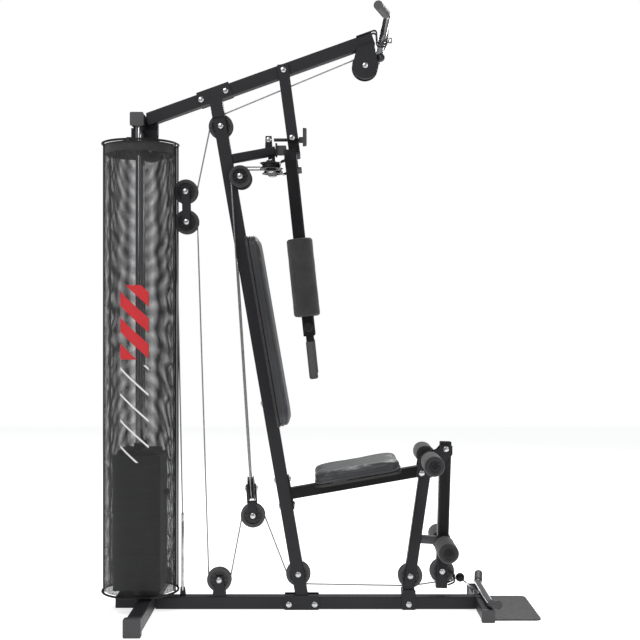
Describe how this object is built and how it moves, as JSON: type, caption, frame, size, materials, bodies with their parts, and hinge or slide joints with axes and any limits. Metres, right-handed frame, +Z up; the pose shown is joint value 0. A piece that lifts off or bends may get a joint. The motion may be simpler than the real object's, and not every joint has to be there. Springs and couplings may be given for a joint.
{
  "type": "multi station home gym",
  "caption": "Home gym frame with a shrouded weight stack, overhead and low pulleys, swinging press and butterfly arms, padded seat and leg lever.",
  "frame": {"origin": "floor level, under the middle of the whole machine", "axes": "+Z up, +X towards the user's end with the foot plate, Y across the machine"},
  "size_m": [1.5515, 0.9478, 2.0782],
  "materials": {
    "black_steel": "satin black powder coat",
    "step_rubber": "pebble-embossed black",
    "cap_plastic": "matte black",
    "chrome_rod": "polished",
    "zinc": "zinc plated",
    "vinyl": "soft black vinyl",
    "board": "black stained board",
    "net": "fine black mesh",
    "band": "black webbing",
    "iron": "black enamel",
    "cable": "grey coated cable",
    "foam": "matte closed-cell foam",
    "pulley": "moulded black nylon"
  },
  "bodies": {
    "frame": {"base_tube": "black_steel", "base_brackets": "black_steel", "stabilisers": "black_steel", "foot_plate": "step_rubber", "end_caps": "cap_plastic", "upright": "black_steel", "boom": "black_steel", "boom_plates": "black_steel", "head_bracket": "black_steel", "guide_rods": "chrome_rod", "seat_frame": "black_steel", "seat_cushion": "vinyl", "back_cushion": "vinyl", "pad_boards": "board", "shroud_net": "net", "shroud_band": "band", "shroud_hoops": "black_steel", "resting_plates": "iron", "rubber_stops": "cap_plastic", "press_beam": "black_steel", "lat_cable": "cable", "low_cable": "cable", "fly_cable": "cable", "cable_fittings": "zinc", "frame_bolts": "zinc", "knee_rollers": "foam"},
    "stack": {"head_plate": "iron", "selected_plates": "iron"},
    "pin": {"selector_pin": "cap_plastic"},
    "float": {"float_block": "black_steel"},
    "cross": {"cross_block": "black_steel"},
    "swing": {"swing_frame": "black_steel"},
    "knob": {"lock_knob": "cap_plastic"},
    "lever": {"leg_lever": "black_steel", "ankle_rollers": "foam"},
    "high_bar": {"lat_bar": "chrome_rod", "lat_grips": "cap_plastic"},
    "low_handle": {"low_bar": "chrome_rod", "low_grips": "cap_plastic"},
    "near_arm": {"near_arm": "black_steel", "near_foam": "foam", "near_grip": "cap_plastic"},
    "far_arm": {"far_arm": "black_steel", "far_foam": "foam", "far_grip": "cap_plastic"},
    "wheel_rear_top": {"pulley_rear_top": "pulley"},
    "wheel_upright_top": {"pulley_upright_top": "pulley"},
    "wheel_lat": {"pulley_lat": "pulley"},
    "wheel_float_high": {"pulley_float_high": "pulley"},
    "wheel_float_low": {"pulley_float_low": "pulley"},
    "wheel_base": {"pulley_base": "pulley"},
    "wheel_cross_low": {"pulley_cross_low": "pulley"},
    "wheel_cross_high": {"pulley_cross_high": "pulley"},
    "wheel_upright_low": {"pulley_upright_low": "pulley"},
    "wheel_post": {"pulley_post": "pulley"},
    "wheel_lever": {"pulley_lever": "pulley"},
    "wheel_back_near": {"pulley_back_near": "pulley"},
    "wheel_back_far": {"pulley_back_far": "pulley"},
    "wheel_yoke_near": {"pulley_yoke_near": "pulley"},
    "wheel_yoke_far": {"pulley_yoke_far": "pulley"}
  },
  "joints": [
    {"name": "stack_lift", "type": "slide", "parent": "frame", "child": "stack", "axis": [0, 0, 1], "range_m": [0, 0.5], "deforming": ["lat_cable"]},
    {"name": "pin_pull", "type": "slide", "parent": "stack", "child": "pin", "axis": [1, 0, 0], "range_m": [0, 0.14]},
    {"name": "float_travel", "type": "slide", "parent": "frame", "child": "float", "axis": [0, 0, 1], "range_m": [-0.25, 0], "deforming": ["low_cable"]},
    {"name": "cross_travel", "type": "slide", "parent": "frame", "child": "cross", "axis": [-0.0635, 0, 0.998], "range_m": [0, 0.15], "deforming": ["fly_cable"]},
    {"name": "press_swing", "type": "hinge", "parent": "frame", "child": "swing", "pos_m": [-0.121, 0, 1.9326], "axis": [0, -1, 0], "range_deg": [0, 35]},
    {"name": "lock_turn", "type": "hinge", "parent": "swing", "child": "knob", "pos_m": [-0.052, 0, 1.686], "axis": [1, 0, 0], "range_deg": [0, 90]},
    {"name": "near_arm_turn", "type": "hinge", "parent": "swing", "child": "near_arm", "pos_m": [-0.092, -0.05, 1.6], "axis": [-0.1063, 0, 0.9943], "range_deg": [0, 85]},
    {"name": "far_arm_turn", "type": "hinge", "parent": "swing", "child": "far_arm", "pos_m": [-0.092, 0.05, 1.6], "axis": [0.1063, 0, -0.9943], "range_deg": [0, 85]},
    {"name": "lever_swing", "type": "hinge", "parent": "frame", "child": "lever", "pos_m": [0.461, 0, 0.576], "axis": [0, -1, 0], "range_deg": [0, 75]},
    {"name": "high_bar_lift", "type": "slide", "parent": "frame", "child": "high_bar", "axis": [0, 0, 1], "range_m": [0, 0.06]},
    {"name": "low_bar_lift", "type": "slide", "parent": "lever", "child": "low_handle", "axis": [0.8, 0, 0.6], "range_m": [0, 0.08]},
    {"name": "rear_top_spin", "type": "hinge", "parent": "frame", "child": "wheel_rear_top", "pos_m": [-0.598, 0, 1.65], "axis": [0, 1, 0], "continuous": true},
    {"name": "upright_top_spin", "type": "hinge", "parent": "frame", "child": "wheel_upright_top", "pos_m": [-0.346, 0, 1.733], "axis": [0, 1, 0], "continuous": true},
    {"name": "lat_spin", "type": "hinge", "parent": "frame", "child": "wheel_lat", "pos_m": [0.172, 0, 1.949], "axis": [0, 1, 0], "continuous": true},
    {"name": "float_high_spin", "type": "hinge", "parent": "float", "child": "wheel_float_high", "pos_m": [-0.472, 0, 1.499], "axis": [0, 1, 0], "continuous": true},
    {"name": "float_low_spin", "type": "hinge", "parent": "float", "child": "wheel_float_low", "pos_m": [-0.469, 0, 1.39], "axis": [0, 1, 0], "continuous": true},
    {"name": "base_spin", "type": "hinge", "parent": "frame", "child": "wheel_base", "pos_m": [-0.352, 0, 0.105], "axis": [0, 1, 0], "continuous": true},
    {"name": "cross_low_spin", "type": "hinge", "parent": "cross", "child": "wheel_cross_low", "pos_m": [-0.23084, 0, 0.3362], "axis": [0, 1, 0], "continuous": true},
    {"name": "cross_high_spin", "type": "hinge", "parent": "cross", "child": "wheel_cross_high", "pos_m": [-0.237, 0, 0.433], "axis": [0.998, 0, 0.0635], "continuous": true},
    {"name": "upright_low_spin", "type": "hinge", "parent": "frame", "child": "wheel_upright_low", "pos_m": [-0.068, 0, 0.127], "axis": [0, 1, 0], "continuous": true},
    {"name": "post_spin", "type": "hinge", "parent": "frame", "child": "wheel_post", "pos_m": [0.334, 0, 0.12], "axis": [0, 1, 0], "continuous": true},
    {"name": "lever_spin", "type": "hinge", "parent": "lever", "child": "wheel_lever", "pos_m": [0.448, 0, 0.137], "axis": [0, 1, 0], "continuous": true},
    {"name": "back_near_spin", "type": "hinge", "parent": "frame", "child": "wheel_back_near", "pos_m": [-0.275, -0.038, 1.55], "axis": [0, 1, 0], "continuous": true},
    {"name": "back_far_spin", "type": "hinge", "parent": "frame", "child": "wheel_back_far", "pos_m": [-0.275, 0.038, 1.55], "axis": [0, 1, 0], "continuous": true},
    {"name": "yoke_near_spin", "type": "hinge", "parent": "frame", "child": "wheel_yoke_near", "pos_m": [-0.164, -0.071, 1.583], "axis": [0, 0, 1], "continuous": true},
    {"name": "yoke_far_spin", "type": "hinge", "parent": "frame", "child": "wheel_yoke_far", "pos_m": [-0.164, 0.071, 1.583], "axis": [0, 0, 1], "continuous": true}
  ],
  "couplings": [
    {"joint": "float_travel", "follows": "stack_lift", "ratio": -0.5}
  ]
}
